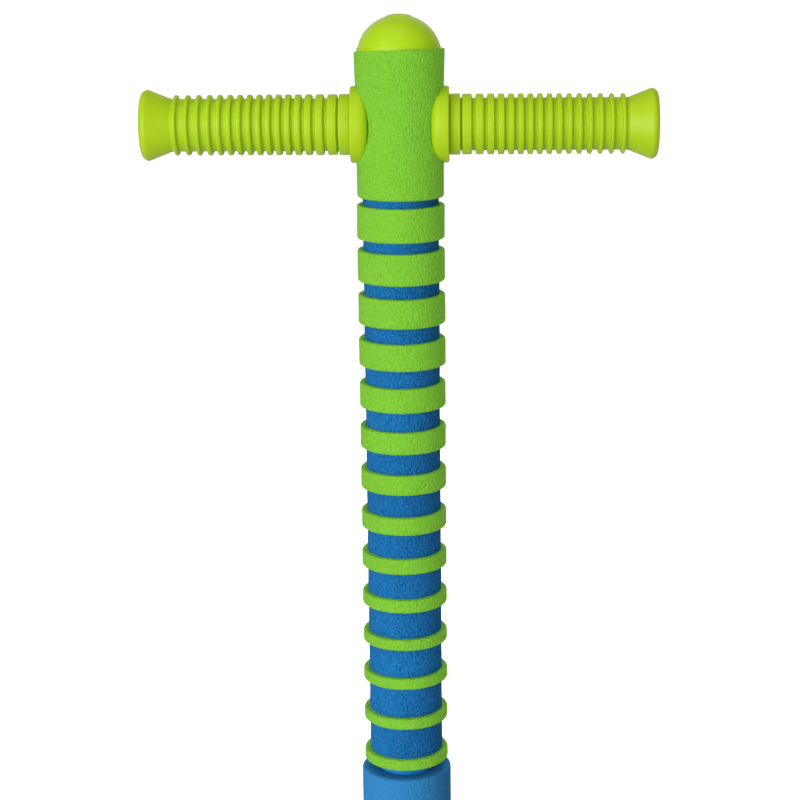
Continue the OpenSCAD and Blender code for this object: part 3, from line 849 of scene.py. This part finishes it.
def hub_shells():
    """A barrel with a round boss to each side, parted down the middle."""
    low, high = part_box("hub_shell_front")
    peg_frame_low, peg_frame_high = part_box("peg_frame")
    collar_r = (peg_frame_high.y - peg_frame_low.y) / 2
    barrel_r = -low.y
    groove = 0.9 * MM
    corners = [
        (0, low.z, 0),
        (barrel_r - 4 * MM, low.z, 2 * MM),
        (barrel_r, low.z + 4 * MM, 3 * MM),
    ]
    for at in (7.5 * MM, 10.5 * MM, 53.5 * MM, 56.5 * MM):
        z = low.z + at
        corners += [
            (barrel_r, z - 0.9 * MM, 0.4 * MM),
            (barrel_r - groove, z - 0.4 * MM, 0.4 * MM),
            (barrel_r - groove, z + 0.4 * MM, 0.4 * MM),
            (barrel_r, z + 0.9 * MM, 0.4 * MM),
        ]
    corners += [(barrel_r, high.z, 1.2 * MM), (0, high.z, 0)]
    barrel = lathe("hub_barrel", rounded(corners, span=2 * MM), 192)
    boss = rounded([
        (0, -HUB_BOSS_X, 0),
        (BOSS_R, -HUB_BOSS_X, 1.2 * MM),
        (BOSS_R, HUB_BOSS_X, 1.2 * MM),
        (0, HUB_BOSS_X, 0),
    ], span=2 * MM)
    combine(barrel, "UNION", lay_along_x(lathe("hub_boss", boss, 128), 1, PEG_Z))
    remesh(barrel, 0.55 * MM, 6)
    cutters = [
        rod("bore", TUBE_R + FIT, low.z - MM, high.z + MM, steps=128),
        rod("cavity", collar_r + FIT, PEG_Z - 26 * MM, PEG_Z + 26 * MM, steps=128),
        rod("bar_bore", PEG_BAR_R + FIT, -THROUGH, THROUGH, "X", (0, 0, PEG_Z)),
    ]
    screw_low, screw_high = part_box("hub_screws")
    head_bore = HUB_HEAD_R + 0.2 * MM
    for _, _, x, z in hub_screw_places():
        at = (x, 0, z)
        cutters.append(rod("screw_bore", HUB_SHANK_R + FIT, -HUB_REACH, screw_high.y + MM, "Y", at))
        cutters.append(rod("screw_head", head_bore, -HUB_REACH, screw_low.y + HUB_HEAD_H, "Y", at))
    cut(barrel, *cutters)
    parting = 0.12 * MM               # half the gap between the two halves
    for facing, name in ((-1, "hub_shell_front"), (1, "hub_shell_rear")):
        half = barrel.copy()
        half.data = barrel.data.copy()
        half.name = name + "_moulded"
        bpy.context.scene.collection.objects.link(half)
        near, far = sorted((facing * parting, facing * HUB_REACH))
        half_space = box("half_space", (-HUB_REACH, near, low.z - MM), (HUB_REACH, far, high.z + MM))
        combine(half, "INTERSECT", half_space)
        finish_piece(half, "lime_plastic", name)
    bpy.data.objects.remove(barrel)


def slab_outline(depth, height, corner, count=8):
    """A rounded rectangle's outline as (y, z) points, evenly laid out for lofting."""
    points = []
    for quarter, (sy, sz) in enumerate(((1, 1), (-1, 1), (-1, -1), (1, -1))):
        centre = (sy * (depth / 2 - corner), sz * (height / 2 - corner))
        for k in range(count + 1):
            turn = math.pi / 2 * (quarter + k / count)
            points.append((centre[0] + corner * math.cos(turn), centre[1] + corner * math.sin(turn)))
    dense = []
    for i, here in enumerate(points):
        ahead = points[(i + 1) % len(points)]
        gap = math.dist(here, ahead)
        parts = 6 if gap > 3 * corner * math.pi / 2 / count else 1
        dense += [
            (here[0] + (ahead[0] - here[0]) * k / parts, here[1] + (ahead[1] - here[1]) * k / parts)
            for k in range(parts)
        ]
    return dense


def loft(name, sections, smooth_angle=38):
    """A closed solid through sections, each a list of as many 3-D points."""
    count = len(sections[0])
    verts = [p for section in sections for p in section]
    faces = []
    for i in range(len(sections) - 1):
        for k in range(count):
            low, high, ahead = i * count, (i + 1) * count, (k + 1) % count
            faces.append([low + k, low + ahead, high + ahead, high + k])
    faces.append(list(range(count)))
    faces.append(list(range(len(verts) - count, len(verts))))
    return solid(name, verts, faces, smooth_angle)


def foot_peg(side_name, side):
    """A shoe with round-topped ribs, an inner rim and a raised outer lip."""
    node = "foot_peg_" + side_name
    low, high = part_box(node)
    inner = min(abs(low.x), abs(high.x))
    outer = max(abs(low.x), abs(high.x))
    tread_low, tread_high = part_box("peg_tread_" + side_name)
    tread_in = min(abs(tread_low.x), abs(tread_high.x))
    tread_out = max(abs(tread_low.x), abs(tread_high.x))
    depth, height, groove = 40 * MM, 24 * MM, 1.5 * MM
    lip, rise = 6 * MM, 4 * MM
    ribs = 9
    pitch = (tread_out - tread_in) / ribs

    def swell(x):
        """How far the outline stands out at x, from 0 in a groove to 1 on a rib."""
        if x < inner + 4 * MM:
            return min(1, (inner + 4 * MM - x) / (0.6 * MM) + 0.3) if x > inner + 3.6 * MM else 1
        if tread_in < x < tread_out:
            phase = ((x - tread_in) / pitch) % 1
            bulge = math.cos((phase - 0.5) * math.tau)
            return 0.5 + 0.5 * math.tanh(3.2 * bulge) / math.tanh(3.2)
        return 0

    sections = []
    count = 190
    for i in range(count + 1):
        x = inner + (outer - inner) * i / count
        out = swell(x)
        grow = -2 * groove * (1 - out)
        edge = max(0.0, 1 - (x - inner) / (1.2 * MM), 1 - (outer - x) / (1.6 * MM))
        grow_edge = -2.2 * MM * (1 - math.sqrt(max(0.0, 1 - edge ** 2)))
        lift = 0.5 - 0.5 * math.cos(math.pi * min(1, max(0, (x - (outer - lip - 2.5 * MM)) / (3.5 * MM))))
        lifted = (rise + 2 * groove) * lift * (1 - out)
        shape = slab_outline(depth + grow + lifted + grow_edge, height + grow + lifted + grow_edge, 8 * MM)
        sections.append([(x, y, PEG_Z + z + rise / 2 * lift) for y, z in shape])
    if side < 0:
        sections = [[(-x, y, z) for x, y, z in section] for section in sections]
    piece = loft(node + "_moulded", sections)
    recess = 0.1 * MM
    bar_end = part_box("peg_frame")[1].x + FIT
    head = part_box("peg_screws")[1].x - 4 * MM
    past = 2 * THROUGH
    span = sorted((side * (tread_in - recess), side * (tread_out + recess)))
    cut(
        piece,
        rod("bore", PEG_BAR_R + FIT, *sorted((0, side * bar_end)), "X", (0, 0, PEG_Z), 64),
        rod("screw_bore", 3 * MM + FIT, *sorted((0, side * past)), "X", (0, 0, PEG_Z), 48),
        rod("screw_head", 6 * MM + 4 * FIT, *sorted((side * head, side * past)), "X", (0, 0, PEG_Z), 64),
        box(
            "recess",
            (span[0], tread_low.y - recess, tread_low.z),
            (span[1], tread_high.y + recess, tread_low.z + 20 * MM),
        ),
    )
    finish_piece(piece, "lime_plastic", node)


def peg_tread(side_name):
    """A rubber pad with soft-edged cross bars, each with small grip notches."""
    node = "peg_tread_" + side_name
    low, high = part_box(node)
    bars = 9
    pitch = (high.x - low.x) / bars
    base = low.z + 3.2 * MM
    cols, rows = 270, 84

    def top(x, y):
        """The pad's height at a place: its bars, their notches and its rounded-off outer edge."""
        phase = ((x - low.x) / pitch) % 1
        bar = 0.5 + 0.5 * math.tanh(5.5 * math.cos((phase - 0.5) * math.tau) + 0.9)
        side_edge = min(1, max(0, (min(y - low.y, high.y - y) - 0.6 * MM) / (1.2 * MM)))
        notch = 0.5 + 0.5 * math.tanh(6 * math.cos((y - low.y) / (high.y - low.y) * 7 * math.tau) + 4.5)
        raised = (high.z - base) * bar * side_edge * (0.55 + 0.45 * notch)
        skirt = min(x - low.x, high.x - x, y - low.y, high.y - y)
        sag = 0.7 * MM * (1 - math.sqrt(max(0, 1 - max(0, 1 - skirt / (0.8 * MM)) ** 2)))
        return base + raised - sag

    verts = []
    for i in range(cols + 1):
        for j in range(rows + 1):
            x = low.x + (high.x - low.x) * i / cols
            y = low.y + (high.y - low.y) * j / rows
            verts.append((x, y, top(x, y)))
    stride = rows + 1
    faces = [
        [i * stride + j, (i + 1) * stride + j, (i + 1) * stride + j + 1, i * stride + j + 1]
        for i in range(cols) for j in range(rows)
    ]
    rim = [i * stride for i in range(cols + 1)]
    rim += [cols * stride + j for j in range(1, rows + 1)]
    rim += [i * stride + rows for i in range(cols - 1, -1, -1)]
    rim += [j for j in range(rows - 1, 0, -1)]
    first = len(verts)
    verts += [(verts[v][0], verts[v][1], low.z) for v in rim]
    for k, v in enumerate(rim):
        ahead = (k + 1) % len(rim)
        faces.append([v, rim[ahead], first + ahead, first + k])
    faces.append(list(range(first, first + len(rim))))
    piece = solid(node + "_rubber", verts, faces, 50)
    finish_piece(piece, "blue_rubber", node)


# ---------------------------------------------------------------- plunger and foot

def spring():
    """A round-wire compression spring with closed ends."""
    low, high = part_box("spring")
    wire = 2 * MM
    coil = 12 * MM
    open_turns, end_pitch = 22, 4.3 * MM
    length = high.z - low.z
    pitch = (length - 2 * wire - 2 * end_pitch) / open_turns
    turns = open_turns + 2
    per_turn, around = 40, 14
    sections = []
    for i in range(turns * per_turn + 1):
        turn = i / per_turn
        ends = min(turn, 1) + max(turn - open_turns - 1, 0)
        z = low.z + wire + ends * end_pitch + min(max(turn - 1, 0), open_turns) * pitch
        a = math.tau * turn
        section = []
        for k in range(around):
            b = math.tau * k / around
            r = coil + wire * math.cos(b)
            section.append((r * math.cos(a), r * math.sin(a), z + wire * math.sin(b)))
        sections.append(section)
    piece = loft("spring_coil", sections, 60)
    finish_piece(piece, "raw_steel", "spring")
    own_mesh(piece)


def guide_bush():
    """A flanged bush in the tube's lower end, with a hole to each side for its screws."""
    low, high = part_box("guide_bush")
    flange_r = radius_x("guide_bush")
    bore = radius_x("plunger_tube") + 0.08 * MM
    outer = TUBE_BORE - FIT
    tube_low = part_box("main_tube")[0].z
    outline = rounded([
        (bore, low.z, 0.8 * MM),
        (flange_r, low.z, 1.2 * MM),
        (flange_r, tube_low, 0.8 * MM),
        (outer, tube_low, 0),
        (outer, high.z, 0.6 * MM),
        (bore, high.z, 0.6 * MM),
    ], span=2 * MM)
    piece = lathe("guide_bush_moulded", outline, 128)
    z = middle("bush_screws").z
    for side in SIDES.values():
        reach = sorted((side * 13.35 * MM, side * THROUGH))
        cut(piece, rod("screw_bore", 1.95 * MM, *reach, "X", (0, 0, z), 40))
    finish_piece(piece, "black_nylon", "guide_bush")


def bump_stop():
    """A rubber bellows block with two waists, just short of the bush when the plunger is right in."""
    low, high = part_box("bump_stop")
    high.z -= 0.15 * MM               # what keeps it off the bush
    outer = radius_x("bump_stop")
    bore = radius_x("plunger_tube") + FIT
    height = high.z - low.z
    waist = outer - 2.4 * MM
    corners = [(bore, low.z, 0.4 * MM), (outer, low.z, 1.4 * MM)]
    for at in (1 / 3, 2 / 3):
        z = low.z + height * at
        corners += [(outer, z - 1.9 * MM, 1.2 * MM), (waist, z, 1.0 * MM), (outer, z + 1.9 * MM, 1.2 * MM)]
    corners += [(outer, high.z, 1.4 * MM), (bore, high.z, 0.4 * MM)]
    piece = lathe("bump_stop_bellows", rounded(corners, span=1.5 * MM), 128)
    finish_piece(piece, "black_rubber", "bump_stop", body="plunger")


def rubber_foot():
    """A bell-shaped foot with a beaded neck, moulded ribs round its skirt, and a grooved sole."""
    low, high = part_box("rubber_foot")
    outer = radius_x("rubber_foot")
    bore = radius_x("plunger_tube") + FIT
    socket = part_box("tip_washer")[0].z
    neck = 19 * MM
    corners = [(0, low.z, 0)]
    for groove in (11 * MM, 21 * MM):
        corners += [
            (groove, low.z, 0.5 * MM),
            (groove + 0.4 * MM, low.z + 2.5 * MM, 0.5 * MM),
            (groove + 2.6 * MM, low.z + 2.5 * MM, 0.5 * MM),
            (groove + 3 * MM, low.z, 0.5 * MM),
        ]
    corners += [
        (outer, low.z, 1.2 * MM),
        (outer, low.z + 10.5 * MM, 2.2 * MM),
        (outer - 3.5 * MM, low.z + 13 * MM, 3 * MM),
        (neck + 1 * MM, low.z + 27 * MM, 12 * MM),
        (neck - 0.7 * MM, high.z - 10 * MM, 3 * MM),
        (neck - 0.7 * MM, high.z - 7 * MM, 0.8 * MM),
        (neck, high.z - 6 * MM, 1 * MM),
        (neck, high.z, 1.6 * MM),
        (bore, high.z, 0.6 * MM),
        (bore, socket, 0),
        (0, socket, 0),
    ]
    piece = lathe("rubber_foot_moulded", rounded(corners, span=1.5 * MM), 288)
    ribs = 24

    def flute(place):
        """Shallow upright flutes round the skirt."""
        radius = math.hypot(place.x, place.y)
        height = place.z - low.z
        share = max(0, min(1, (height - 1.5 * MM) / (1.5 * MM), (13 * MM - height) / (2 * MM)))
        share *= max(0, min(1, (radius - 26 * MM) / (3 * MM)))
        turn = math.atan2(place.y, place.x)
        dip = 1.1 * MM * share * (0.5 + 0.5 * math.cos(turn * ribs)) ** 3
        keep = 1 - dip / max(radius, 1 * MM)
        return Vector((place.x * keep, place.y * keep, place.z))

    reshape(piece, flute)
    finish_piece(piece, "black_rubber", "rubber_foot", body="plunger")


# ---------------------------------------------------------------- scene

def lit_for(tree, seen, lighting):
    """Mixes two shaders: one as the camera sees it, the other as it lights the object."""
    path = tree.nodes.new("ShaderNodeLightPath")
    mixed = tree.nodes.new("ShaderNodeMixShader")
    tree.links.new(path.outputs["Is Camera Ray"], mixed.inputs["Fac"])
    tree.links.new(lighting, mixed.inputs[1])
    tree.links.new(seen, mixed.inputs[2])
    return mixed.outputs["Shader"]


def stage_and_lights(bright_pieces):
    """A plain pale floor, a white sky and soft studio light. Only bright_pieces catch the fill light."""
    mesh = bpy.data.meshes.new("floor")
    reach, glow, sky = 60, 0.82, 0.28       # the floor's half-width and brightness, and the sky's light
    corners = [(-reach, -reach, 0), (reach, -reach, 0), (reach, reach, 0), (-reach, reach, 0)]
    mesh.from_pydata(corners, [], [(0, 1, 2, 3)])
    floor = bpy.data.objects.new("floor", mesh)
    bpy.context.scene.collection.objects.link(floor)
    look = Look("floor_white", Roughness=0.9, Specular_IOR_Level=0.1)
    look.set("Base Color", look.mix(look.noise(0.4, 3), (0.84, 0.84, 0.84, 1), (0.88, 0.88, 0.88, 1)))
    look.set("Emission Color", (1, 1, 1, 1))
    look.set("Emission Strength", glow)
    grey = look.node("ShaderNodeBsdfDiffuse")
    grey.inputs["Color"].default_value = (0.6, 0.6, 0.6, 1)
    out = look.tree.nodes["Material Output"]
    look.join(lit_for(look.tree, look.shader.outputs["BSDF"], grey.outputs["BSDF"]), out.inputs["Surface"])
    mesh.materials.append(look.material)

    world = bpy.data.worlds.new("studio")
    world.use_nodes = True
    tree = world.node_tree
    seen, lighting = tree.nodes["Background"], tree.nodes.new("ShaderNodeBackground")
    seen.inputs["Color"].default_value = lighting.inputs["Color"].default_value = (1, 1, 1, 1)
    seen.inputs["Strength"].default_value = 1.0
    lighting.inputs["Strength"].default_value = sky
    # shiny surfaces mirror two darker walls, to the left and right
    direction = tree.nodes.new("ShaderNodeSeparateXYZ")
    tree.links.new(tree.nodes.new("ShaderNodeTexCoord").outputs["Generated"], direction.inputs["Vector"])
    sideways = tree.nodes.new("ShaderNodeMath")
    sideways.operation = "ABSOLUTE"
    tree.links.new(direction.outputs["X"], sideways.inputs[0])
    wall = tree.nodes.new("ShaderNodeMapRange")
    wall.interpolation_type = "SMOOTHSTEP"
    for key, number in (("From Min", 0.72), ("From Max", 0.9), ("To Min", 1.0), ("To Max", 0.2)):
        wall.inputs[key].default_value = number
    tree.links.new(sideways.outputs[0], wall.inputs["Value"])
    mirrored = tree.nodes.new("ShaderNodeMix")
    mirrored.inputs["A"].default_value = 1.0
    tree.links.new(tree.nodes.new("ShaderNodeLightPath").outputs["Is Glossy Ray"], mirrored.inputs["Factor"])
    tree.links.new(wall.outputs["Result"], mirrored.inputs["B"])
    tree.links.new(mirrored.outputs["Result"], lighting.inputs["Color"])
    shader = lit_for(tree, seen.outputs["Background"], lighting.outputs["Background"])
    tree.links.new(shader, tree.nodes["World Output"].inputs["Surface"])
    bpy.context.scene.world = world

    aim = Vector((0, 0, HANDLE_Z * 0.75))
    for name, place, size, power, glossy, lit in (
        ("key", (-1.35, -2.1, 0.9), 1.9, 53, True, None),
        ("top", (-0.3, -0.5, 2.4), 1.2, 7, False, None),
        ("back", (0.5, 2.4, 1.6), 1.6, 44, False, None),
        ("fill", (1.9, -1.6, 0.9), 2.2, 18, False, bright_pieces),
    ):
        lamp = bpy.data.lights.new(name, "AREA")
        lamp.size = size
        lamp.energy = power
        holder = bpy.data.objects.new(name, lamp)
        holder.location = place
        holder.rotation_euler = (aim - Vector(place)).to_track_quat("-Z", "Y").to_euler()
        holder.visible_glossy = glossy
        if lit:
            holder.light_linking.receiver_collection = lit
        bpy.context.scene.collection.objects.link(holder)
    bpy.context.scene.view_settings.view_transform = "Standard"


def camera():
    """From the front, a little above the handle and to its right, looking down at the stick."""
    lens = bpy.data.cameras.new("camera")
    lens.lens = 92.0
    lens.shift_x = -0.071
    lens.clip_end = 200
    holder = bpy.data.objects.new("camera", lens)
    right, back, above_handle = 0.0292, 1.0761, 0.1113
    down, roll = 13.59, -0.25               # degrees
    turn = Matrix.Rotation(math.radians(90 - down), 4, "X") @ Matrix.Rotation(math.radians(roll), 4, "Z")
    holder.matrix_world = Matrix.Translation((right, -back, HANDLE_Z + above_handle)) @ turn
    bpy.context.scene.collection.objects.link(holder)
    bpy.context.scene.camera = holder


camera()
for slot_name, members in (
    ("blue_paint", ["main_tube"]),
    ("raw_steel", ["handle_bar", "peg_frame", "spring_seat"]),
    ("zinc_steel", ["handle_bolt", "handle_nut", "seat_bolt", "seat_nut", "piston_pin", "tip_washer"]),
    ("chrome", ["plunger_tube"]),
    ("white_nylon", ["piston"]),
    ("black_rubber", ["rebound_ring"]),
):
    for member in members:
        frame["nodes"][member].data.materials.clear()
        frame["nodes"][member].data.materials.append(LOOKS[slot_name])

foam_core()
top_sleeve()
lower_sleeve()
for place, ring in enumerate(RINGS):
    foam_ring(place, ring)
top_cap()
for side_word, sign in SIDES.items():
    grip_flange(side_word, sign)
    grip(side_word, sign)
    foot_peg(side_word, sign)
    peg_tread(side_word)
hub_shells()
hub_screws()
screws_x("peg_screws_hex", "peg_screws", 6 * MM, 4 * MM, 3 * MM, "hex")
screws_x("bush_screws_cross", "bush_screws", 3.6 * MM, 2.3 * MM, 1.9 * MM, "cross")
spring()
guide_bush()
bump_stop()
rubber_foot()

bright = bpy.data.collections.new("lit_by_fill")
for piece in bpy.context.scene.objects:
    if piece.type == "MESH" and piece.data.materials and "blue" not in piece.data.materials[0].name:
        bright.objects.link(piece)
stage_and_lights(bright)
